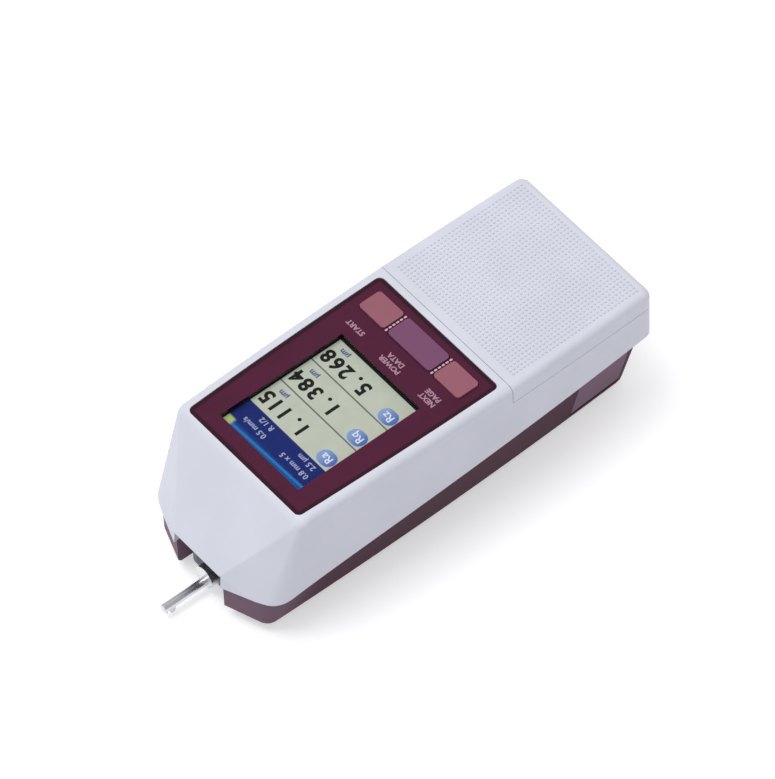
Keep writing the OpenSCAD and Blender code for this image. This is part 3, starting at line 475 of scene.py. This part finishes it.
# %% [markdown]
# ## Helpers for added pieces
# The small things below are built from a few shapes: a plate with an outline, a turned body, a low
# dome and lettering. Each helper adds its shape to one bmesh, so a piece can hold many of them, and
# `piece` hands the result to the body that it moves with. Places and outlines are in millimetres, and
# every shape is closed, so that the exported meshes are closed too.


# %% Plates
def rounded(length, width, radius, steps=4):
    """Outline of a rectangle with round corners, centred."""
    points = []
    for turn, (sx, sy) in enumerate(((1, 1), (-1, 1), (-1, -1), (1, -1))):
        for k in range(steps + 1):
            a = math.radians(90 * (turn + k / steps))
            points.append((sx * (length / 2 - radius) + radius * math.cos(a),
                           sy * (width / 2 - radius) + radius * math.sin(a)))
    return points


def bridge(form, below, above):
    """Wall of quads between two rings of corners."""
    for i in range(len(below)):
        j = (i + 1) % len(below)
        form.faces.new((below[i], below[j], above[j], above[i]))


def stack(form, rings):
    """Walls between rings that lie on top of each other, closed at both ends."""
    for below, above in zip(rings, rings[1:]):
        bridge(form, below, above)
    form.faces.new(rings[0][::-1])
    form.faces.new(rings[-1])


def add_plate(form, outline, place, thickness, chamfer=0.0):
    """Prism over an outline, standing on place, with a chamfer round its top."""
    px, py, pz = place
    span = max(max(abs(x), abs(y)) for x, y in outline)
    levels = [(0, 1), (thickness - chamfer, 1)]
    if chamfer:
        levels.append((thickness, 1 - chamfer / span))
    stack(form, [[form.verts.new(Vector((px + x * k, py + y * k, pz + h)) * MM) for x, y in outline]
                 for h, k in levels])


print("a rounded outline has", len(rounded(2, 1, 0.2)), "points")

# %% Turned bodies, domes and words
DOME_SHOULDER = (0.6, 0.75)
CAPITAL_SHARE, LETTER_STEPS = 0.73, 3
READS_TO_LEFT = math.radians(90)


def circle(radius, along, steps):
    turns = [math.tau * k / steps for k in range(steps)]
    return [Vector((radius * math.cos(a), radius * math.sin(a), along)) for a in turns]


def add_turned(form, profile, place, axis, steps=20):
    """Turned body: a profile of (along, radius) pairs, spun about an axis through place."""
    spin = Vector(axis).to_track_quat("Z", "Y").to_matrix()
    rings = [circle(radius, along, steps) for along, radius in profile]
    stack(form, [[form.verts.new((spin @ point + Vector(place)) * MM) for point in ring] for ring in rings])


def add_dome(form, place, radius, height, sides=6):
    """Low dome, as a pip moulded into a surface."""
    share, rise = DOME_SHOULDER
    foot, shoulder = ([form.verts.new((Vector(place) + point) * MM) for point in circle(r, h, sides)]
                      for r, h in ((radius, 0), (radius * share, height * rise)))
    tip = form.verts.new((Vector(place) + Vector((0, 0, height))) * MM)
    bridge(form, foot, shoulder)
    for k in range(sides):
        form.faces.new((shoulder[k], shoulder[(k + 1) % sides], tip))
    form.faces.new(foot[::-1])


def add_words(form, words, place, height, thickness, bold):
    """Flat lettering of a given capital height that reads from -Y to +Y."""
    type_face = bpy.data.curves.new("words", "FONT")
    type_face.body, type_face.size = words, height / CAPITAL_SHARE
    type_face.align_x, type_face.align_y = "CENTER", "CENTER"
    type_face.extrude, type_face.offset, type_face.resolution_u = thickness / 2, bold, LETTER_STEPS
    holder = bpy.data.objects.new("words", type_face)
    mesh = holder.to_mesh()
    mesh.transform(Matrix.Translation(Vector(place) * MM) @ Matrix.Rotation(READS_TO_LEFT, 4, "Z")
                   @ Matrix.Scale(MM, 4) @ Matrix.Translation((0, 0, thickness / 2)))
    form.from_mesh(mesh)
    holder.to_mesh_clear()
    bpy.data.objects.remove(holder)
    bpy.data.curves.remove(type_face)


print("a dome's shoulder is at", DOME_SHOULDER, "of its radius and height")

# %% Pieces
LARGEST_SMOOTH_FACE = 4


def piece(name, body, finish, form, smooth=False):
    """Turns a bmesh into an object that rides on a body of the frame. End faces stay flat."""
    for face in form.faces:
        face.smooth = smooth and len(face.verts) <= LARGEST_SMOOTH_FACE
    mesh = bpy.data.meshes.new(name)
    form.to_mesh(mesh)
    form.free()
    mesh.materials.append(finish.material)
    obj = bpy.data.objects.new(name, mesh)
    scene.collection.objects.link(obj)
    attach(obj, body)
    print(name, "on", body, "with", len(mesh.polygons), "faces")


def box_mm(node):
    """Lowest corner, highest corner and middle of a solid."""
    low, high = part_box(node)
    return low / MM, high / MM, (low + high) / 2 / MM


print("the slide cover reaches up to", round(box_mm("slide_cover")[1].z, 2), "mm")

# %% [markdown]
# ## Grip dots
# The slide cover is pushed with a thumb, and its top carries a close square grid of low pips. A bump
# map would show them from above only. Real pips catch the light on one side and shade the other, and
# they show at the edge of the cover too. Each is a six-sided dome, which is enough at this size.

# %% Grip dots
DOT_PITCH, DOT_RADIUS, DOT_HEIGHT, DOT_SINK = 1.5, 0.5, 0.35, 0.02
DOT_MARGIN_X, DOT_MARGIN_Y = 3.2, 4.2


def grip_dots():
    low, high, middle = box_mm("slide_cover")
    form = bmesh.new()
    columns = int((high.x - low.x - 2 * DOT_MARGIN_X) / DOT_PITCH)
    rows = int((high.y - low.y - 2 * DOT_MARGIN_Y) / DOT_PITCH)
    for i in range(columns + 1):
        for j in range(rows + 1):
            x = middle.x + (i - columns / 2) * DOT_PITCH
            y = middle.y + (j - rows / 2) * DOT_PITCH
            add_dome(form, (x, y, high.z - DOT_SINK), DOT_RADIUS, DOT_HEIGHT)
    piece("grip_dots", "slide_cover", FINISHES["white_plastic"], form, smooth=True)


grip_dots()

# %% [markdown]
# ## Display picture
# The liquid crystal shows a blue heading, three rows with a result each and a round badge before each
# result. The ground is one plate whose colour comes from the distance along the display: heading,
# bright stripe, rows and the grey lines between them. It could be one plate for each of them, but
# then their edges would show. The display is upright for somebody who holds the rear end, so its top
# is toward -X and its text reads toward +Y.

# %% Display ground
HEAD_X, HEAD_RIM, LINE_1, LINE_2, LINE_OUT, LINE_IN = -35.4, 0.15, -23.1, -10.6, 0.34, 0.2
PIXEL, PIXEL_GAP, PIXEL_DARK = 0.36, 0.12, 0.18
LIT_MARGIN, LIT_EDGE, LIT_END_X, LIT_END_Y, LIT_RIM = 2.2, 0.3, 1.1, 18.9, 0.1
PAGE_MARGIN, PAGE_CORNER, PAGE_T, PAGE_CHAMFER, PAGE_LIFT = 1.2, 0.8, 0.06, 0.02, 0.02
DEEP_FROM, DEEP_TO, DEEP_WAVE = 2.6, 4.6, 1.5
STREAK_X, STREAK_SLANT, STREAK_OUT, STREAK_IN, STREAK_SHARE = 2.2, 0.03, 0.7, 0.2, 0.6
CORNER_X, CORNER_Y, CORNER_RIM_X, CORNER_RIM_Y = 3.2, 15, 1.0, 1.5
SCREEN_IOR = 1.2
PAGE_Z = box_mm("display_module")[1].z + PAGE_LIFT


def before(value, limit):
    """1 where a value is below its limit."""
    return (value - limit).step(LIT_RIM, -LIT_RIM)


def heading_tint(finish, down, y):
    """Blue that deepens down the heading, with a bright streak and a pale corner."""
    deep = (down + finish.noise(3, 2) * DEEP_WAVE).step(DEEP_FROM, DEEP_TO)
    head = finish.mix(deep, colour(8, 84, 158), colour(22, 38, 108))
    from_streak = abs(down - STREAK_X + y * STREAK_SLANT)
    head = finish.mix(from_streak.step(STREAK_OUT, STREAK_IN) * STREAK_SHARE, head, colour(52, 136, 200))
    corner = down.step(CORNER_X + CORNER_RIM_X, CORNER_X) * y.step(CORNER_Y, CORNER_Y + CORNER_RIM_Y)
    return finish.mix(corner, head, colour(176, 196, 120))


def page_finish(low):
    """Picture on the display, from the lit area's lowest corner on."""
    finish = Finish("display_page", Roughness=0.6, IOR=SCREEN_IOR)
    x, y = finish.along("X"), finish.along("Y")
    ground = finish.mix(finish.noise(5, 2), colour(182, 189, 172), colour(198, 203, 189))
    for line in (LINE_1, LINE_2):
        ground = finish.mix(abs(x - line).step(LINE_OUT, LINE_IN), ground, colour(104, 110, 108))
    in_head = x.step(HEAD_X + HEAD_RIM, HEAD_X - HEAD_RIM)
    tint = finish.mix(in_head, ground, heading_tint(finish, x - low.x, y))
    cells = (x / PIXEL).fraction().step(0.0, PIXEL_GAP) * (y / PIXEL).fraction().step(0.0, PIXEL_GAP)
    tint = finish.mix(cells, finish.mix(PIXEL_DARK, tint, BLACK), tint)
    # Outside the lit area the page is near black. This is partly the screen's unlit border and partly
    # painted shade from the recess, on the far +Y side and the rear end.
    lit = before(low.y + LIT_EDGE, y) * before(y, LIT_END_Y) * before(x, LIT_END_X)
    tint = finish.mix(lit, colour(24, 23, 24), tint)
    return finish.set(Base_Color=tint, Emission_Color=tint, Emission_Strength=0.25)


low, high, middle = box_mm("display_window")
length, width = high.x - low.x - 2 * PAGE_MARGIN, high.y - low.y - 2 * PAGE_MARGIN
form = bmesh.new()
add_plate(form, rounded(length, width, PAGE_CORNER), (middle.x, 0, PAGE_Z), PAGE_T, PAGE_CHAMFER)
piece("display_page", "case", page_finish(low + Vector((LIT_MARGIN, LIT_MARGIN, 0))), form)

# %% [markdown]
# ## Results, badges and words
# The digits, badges and words on the display could be part of the ground's colour, but letters are
# hard to write as distances. They are thin plates of lettering, each raised by a few hundredths of a
# millimetre over the one below, so that nothing lies in the same plane.

# %% Inks
BADGE_GLOW_Y, BADGE_GLOW_HALF = -14.2, 4


def ink(name, tint, glow=0.0):
    """Printed or displayed ink: one tint that is a little uneven."""
    finish = Finish(name, Roughness=0.6, IOR=SCREEN_IOR)
    tone = finish.mix(finish.noise(1.2, 2), shade(tint, 0.85), shade(tint, 1.1))
    return finish.set(Base_Color=tone, Emission_Color=tone, Emission_Strength=glow)


def badge_finish():
    finish = Finish("display_badge", Roughness=0.6, IOR=SCREEN_IOR)
    share = (finish.along("Y") - BADGE_GLOW_Y).step(-BADGE_GLOW_HALF, BADGE_GLOW_HALF)
    tone = finish.mix(share, colour(78, 106, 182), colour(136, 164, 208))
    return finish.set(Base_Color=tone, Emission_Color=tone, Emission_Strength=0.2)


print("inks for print and display ready")

# %% Results, badges and words
ROWS = ((HEAD_X, "1.115", "Ra"), (LINE_1, "1.384", "Rq"), (LINE_2, "5.268", "Rz"))
HEADING = ((-41.4, -9.6, "0.8 mm x 5"), (-41.4, 9.6, "0.5 mm/s"),
           (-37.6, -11.0, "2.5 \u00b5m"), (-37.6, 8.2, "R 1/2"))
INK_Z, BADGE_Z, SIGN_Z, INK_T, SIGN_T = PAGE_Z + 0.07, PAGE_Z + 0.065, PAGE_Z + 0.11, 0.03, 0.02
DIGIT_X, DIGIT_Y, DIGIT_PITCH, DIGIT_HEIGHT, DIGIT_BOLD = 4.9, -0.6, 4.25, 5.3, 0.24
POINT_SHIFT = 0.15
BADGE_X, BADGE_Y, BADGE_T, BADGE_CHAMFER = 3.6, -13.9, 0.04, 0.015
BADGE_OUTLINE = rounded(5.8, 7.0, 2.7)
SIGN_HEIGHT, SIGN_BOLD = 2.9, 0.05
UNIT_X, UNIT_Y, UNIT_HEIGHT, UNIT_BOLD = 9.2, 13.8, 2.1, 0.1
WORD_HEIGHT, WORD_BOLD = 2.0, 0.04

digits, badges, signs, words, units = (bmesh.new() for k in range(5))
for row_x, value, sign in ROWS:
    for k, digit in enumerate(value):
        y = DIGIT_Y + DIGIT_PITCH * (k - POINT_SHIFT if digit == "." else k)
        add_words(digits, digit, (row_x + DIGIT_X, y, INK_Z), DIGIT_HEIGHT, INK_T, DIGIT_BOLD)
    add_plate(badges, BADGE_OUTLINE, (row_x + BADGE_X, BADGE_Y, BADGE_Z), BADGE_T, BADGE_CHAMFER)
    add_words(signs, sign, (row_x + BADGE_X, BADGE_Y, SIGN_Z), SIGN_HEIGHT, SIGN_T, SIGN_BOLD)
    add_words(units, "\u00b5m", (row_x + UNIT_X, UNIT_Y, INK_Z), UNIT_HEIGHT, INK_T, UNIT_BOLD)
for x, y, note in HEADING:
    add_words(words, note, (x, y, INK_Z), WORD_HEIGHT, INK_T, WORD_BOLD)
piece("display_digits", "case", ink("display_ink", colour(30, 32, 30)), digits)
piece("display_badges", "case", badge_finish(), badges)
piece("display_units", "case", ink("display_blue", colour(96, 110, 160)), units)
piece("display_words", "case", ink("display_pale", colour(176, 184, 216), 0.15), words)
piece("display_signs", "case", ink("display_white", colour(226, 232, 244), 0.2), signs)

# %% [markdown]
# ## Legends and key dividers
# Each front key has plain words in pale print on the panel beside it, in one line or two. The moulded
# bars between the keys carry a row of pale dashes. Both could be painted by the panel's finish, but
# as thin plates they stay sharp at any distance, and the dashes stand up on their bars.

# %% Legends and key dividers
LEGENDS = (("start_key", ("START",)), ("data_key", ("POWER", "DATA")), ("page_key", ("NEXT", "PAGE")))
LEGEND_LEAD, LEGEND_PITCH, LEGEND_Z, LEGEND_HEIGHT, LEGEND_BOLD = 5.4, 2.6, 51.86, 1.9, 0.08
DASHES, DASH_X, DASH_PITCH, DASH_Y, DASH_Z = 6, 13.2, 1.55, 11.0, 52.1
DASH_OUTLINE, DASH_T, DASH_CHAMFER = rounded(1.2, 0.7, 0.33, 3), 0.06, 0.03

print_form, dash_form = bmesh.new(), bmesh.new()
for key, lines in LEGENDS:
    low, high, middle = box_mm(key)
    for k, line in enumerate(lines):
        x = low.x - LEGEND_LEAD + LEGEND_PITCH * (k - (len(lines) - 1) / 2)
        add_words(print_form, line, (x, middle.y, LEGEND_Z), LEGEND_HEIGHT, INK_T, LEGEND_BOLD)
for side in (-1, 1):
    for k in range(DASHES):
        place = (DASH_X + DASH_PITCH * k, side * DASH_Y, DASH_Z)
        add_plate(dash_form, DASH_OUTLINE, place, DASH_T, DASH_CHAMFER)
piece("panel_legends", "case", ink("legend_print", colour(182, 142, 162)), print_form)
piece("divider_dashes", "case", ink("dash_print", colour(214, 178, 192)), dash_form)

# %% [markdown]
# ## Marks on the small keys
# Under the slide cover lie the cursor keys, an enter key, an escape key and two coloured ones. Each
# mark rides on its own key, so that it goes down with it. The cursor marks point away from the enter
# key, which gives their direction without a table.

# %% Marks on the small keys
ARROW = ((1.5, 0.0), (-0.9, 1.5), (-0.3, 0.0), (-0.9, -1.5))
MARK_T, MARK_HEIGHT, MARK_BOLD = 0.04, 2.2, 0.06
key_ink = ink("key_print", colour(74, 78, 90))
pale_ink = ink("key_print_pale", colour(232, 234, 238))
KEY_WORDS = (("enter_key", "ENT", pale_ink), ("escape_key", "ESC", key_ink),
             ("blue_key", "P", pale_ink), ("red_key", "X", pale_ink))

centre = box_mm("enter_key")[2]
for key in ("up_key", "down_key", "left_key", "right_key"):
    low, high, middle = box_mm(key)
    way = math.atan2(middle.y - centre.y, middle.x - centre.x)
    ahead, aside = math.cos(way), math.sin(way)
    outline = [(x * ahead - y * aside, x * aside + y * ahead) for x, y in ARROW]
    form = bmesh.new()
    add_plate(form, outline, (middle.x, middle.y, high.z), MARK_T)
    piece(key + "_mark", body_of[key], key_ink, form)
for key, word, finish in KEY_WORDS:
    low, high, middle = box_mm(key)
    form = bmesh.new()
    add_words(form, word, (middle.x, middle.y, high.z), MARK_HEIGHT, MARK_T, MARK_BOLD)
    piece(key + "_mark", body_of[key], finish, form)

# %% [markdown]
# ## Thread of the lead screw
# The screw that pulls the carriage is a plain rod in the solid model. Its thread has a lead of 1 mm,
# the same as the coupling between turning and travel in the record. A Screw modifier could turn a
# profile into a thread, but it ends bluntly. Here a ridge is swept along a helix ring by ring and runs
# out to nothing at both ends.

# %% Thread of the lead screw
THREAD_LEAD, THREAD_HEIGHT, THREAD_ENDS, THREAD_STEPS = 1.0, 0.14, 9, 18
THREAD_HALF, THREAD_SINK = 0.36, 0.02


def thread(node):
    low, high, middle = box_mm(node)
    radius = (high.z - low.z) / 2 - THREAD_SINK
    count = int((high.x - low.x - 2 * THREAD_ENDS) / THREAD_LEAD * THREAD_STEPS)
    form, rings = bmesh.new(), []
    for i in range(count + 1):
        a = math.tau * i / THREAD_STEPS
        fade = min(1, i / THREAD_STEPS, (count - i) / THREAD_STEPS)
        x = low.x + THREAD_ENDS + THREAD_LEAD * i / THREAD_STEPS
        crest = radius + THREAD_SINK + THREAD_HEIGHT * fade
        out = Vector((0, math.sin(a), math.cos(a)))
        rings.append([form.verts.new((Vector((x + dx, middle.y, middle.z)) + out * r) * MM)
                      for dx, r in ((-THREAD_HALF, radius), (0, crest), (THREAD_HALF, radius))])
    stack(form, rings)
    piece("lead_thread", body_of[node], FINISHES[slot_of[node]], form, smooth=True)


thread("lead_screw")

# %% [markdown]
# ## Case screws and coil
# The four case screws get a cross recess, drawn as a dark cross on the head. A real recess would mean
# a cut into the solid, and it would not show from above. Their places are measured on the solid, one
# screw in each quarter. The pickup coil gets its turns of wire, as a turned body with one ridge for
# each turn.

# %% Case screws and coil
CROSS_LENGTH, CROSS_WIDTH, CROSS_T, CROSS_PROUD = 2.8, 0.7, 0.04, 0.03
TURNS, TURN_STEPS, COIL_END = 12, 28, 0.1
TURN_SHAPE = ((0.15, 0), (0.5, 0.07), (0.85, 0))
UP, TO_THE_DOOR = (0, 0, 1), (0, -1, 0)


def cross(length, width):
    a, b = length / 2, width / 2
    return [(a, b), (b, b), (b, a), (-b, a), (-b, b), (-a, b),
            (-a, -b), (-b, -b), (-b, -a), (b, -a), (b, -b), (a, -b)]


corners = [v.co / MM for v in frame["nodes"]["case_screws"].data.vertices]
form = bmesh.new()
for front in (True, False):
    for left in (True, False):
        one = [v for v in corners if (v.x < 0) == front and (v.y > 0) == left]
        xs, ys, zs = zip(*one)
        place = ((min(xs) + max(xs)) / 2, (min(ys) + max(ys)) / 2, min(zs) - CROSS_PROUD)
        add_plate(form, cross(CROSS_LENGTH, CROSS_WIDTH), place, CROSS_T)
piece("screw_recesses", "case", ink("recess_shadow", colour(38, 39, 42)), form)

low, high, middle = box_mm("pickup_coil")
radius, foot = (high.x - low.x) / 2, low.z + COIL_END
rise = (high.z - low.z - 2 * COIL_END) / TURNS
profile = [(foot, radius - COIL_END)]
for k in range(TURNS):
    profile += [(foot + rise * (k + share), radius + out) for share, out in TURN_SHAPE]
profile.append((high.z - COIL_END, radius - COIL_END))
form = bmesh.new()
add_turned(form, profile, (middle.x, middle.y, 0), UP, TURN_STEPS)
piece("coil_turns", body_of["pickup_coil"], FINISHES["coil_copper"], form, smooth=True)

# %% [markdown]
# ## Sockets behind the door
# The solid sockets are boxes with a mouth. A centre pin, a tongue with flat contacts and a field of
# round pins, all as small plates and turned bodies, make them read as sockets when the door is open.

# %% Sockets behind the door
JACK_PIN = ((0, 0.65), (1.3, 0.65), (1.6, 0.5), (1.75, 0.2))
DATA_PIN, DATA_PITCH, DATA_STEPS = ((0, 0.22), (1.4, 0.22), (1.6, 0.08)), 1.2, 10
PIN_DEPTH = 1.05
CONTACTS, CONTACT_PITCH, CONTACT_DEPTH, CONTACT_LIFT, CONTACT_T = 5, 0.7, 1.7, 0.36, 0.06
TONGUE_DEPTH, TONGUE_DROP, TONGUE_T, TONGUE_CHAMFER = 1.9, 0.3, 0.65, 0.08
CONTACT_OUTLINE, TONGUE_OUTLINE = rounded(0.4, 1.5, 0.1, 1), rounded(3.6, 1.9, 0.2, 2)

form = bmesh.new()
low, high, middle = box_mm("power_jack")
add_turned(form, JACK_PIN, (middle.x, high.y - PIN_DEPTH, middle.z), TO_THE_DOOR)
low, high, middle = box_mm("usb_socket")
for k in range(CONTACTS):
    x = middle.x + (k - (CONTACTS - 1) / 2) * CONTACT_PITCH
    place = (x, high.y - CONTACT_DEPTH, middle.z + CONTACT_LIFT)
    add_plate(form, CONTACT_OUTLINE, place, CONTACT_T)
tongue = bmesh.new()
place = (middle.x, high.y - TONGUE_DEPTH, middle.z - TONGUE_DROP)
add_plate(tongue, TONGUE_OUTLINE, place, TONGUE_T, TONGUE_CHAMFER)
low, high, middle = box_mm("data_socket")
for i in (-1, 0, 1):
    for j in (-1.5, -0.5, 0.5, 1.5):
        place = (middle.x + i * DATA_PITCH, high.y - PIN_DEPTH, middle.z + j * DATA_PITCH)
        add_turned(form, DATA_PIN, place, TO_THE_DOOR, DATA_STEPS)
piece("socket_contacts", "case", FINISHES["coupling_brass"], form)
piece("usb_tongue", "case", FINISHES["socket_black"], tongue)

# %% [markdown]
# ## Parts on the main board
# Between the large chips of the solid model a real board has rows of tiny parts: resistors with
# bright ends, capacitors as small cans and a crystal in a metal case. A pattern in the board's finish
# would look flat, so they are plates and turned bodies on the board's top face, in two rows along its
# edges.

# %% Parts on the main board
BOARD_T = 1.6
ROW_PARTS, ROW_PITCH, ROW_Y, ROW_STAGGER = 13, 3.4, 17.5, 0.9
PART_HEIGHT, END_HEIGHT, END_X, PART_CHAMFER = 0.55, 0.57, 0.7, 0.06
PART_OUTLINE, END_OUTLINE = rounded(1.0, 1.2, 0.1, 1), rounded(0.45, 1.2, 0.1, 1)
CAN = ((0, 1.7), (0.5, 1.7), (0.6, 1.55), (0.8, 1.55), (0.9, 1.7), (2.3, 1.7), (2.5, 1.5))
CAN_PLACES = ((-8, 14), (-3, 14), (2, -13))
CRYSTAL_X, CRYSTAL_Y, CRYSTAL_HEIGHT, CRYSTAL_CHAMFER = 12, -14, 1.6, 0.2
CRYSTAL_OUTLINE = rounded(7, 3, 1.4)

low, high, middle = box_mm("main_board")
board_top = low.z + BOARD_T
chips, ends, cans = bmesh.new(), bmesh.new(), bmesh.new()
for side in (-1, 1):
    for k in range(ROW_PARTS):
        x = middle.x + (k - (ROW_PARTS - 1) / 2) * ROW_PITCH
        y = side * (ROW_Y + ROW_STAGGER * (k % 2))
        add_plate(chips, PART_OUTLINE, (x, y, board_top), PART_HEIGHT, PART_CHAMFER)
        for end in (-END_X, END_X):
            add_plate(ends, END_OUTLINE, (x + end, y, board_top), END_HEIGHT, PART_CHAMFER)
for x, y in CAN_PLACES:
    add_turned(cans, CAN, (middle.x + x, y, board_top), UP)
crystal = (middle.x + CRYSTAL_X, CRYSTAL_Y, board_top)
add_plate(cans, CRYSTAL_OUTLINE, crystal, CRYSTAL_HEIGHT, CRYSTAL_CHAMFER)
piece("board_chips", "case", FINISHES["socket_black"], chips)
piece("board_ends", "case", FINISHES["socket_shell"], ends)
piece("board_cans", "case", FINISHES["motor_shell"], cans)
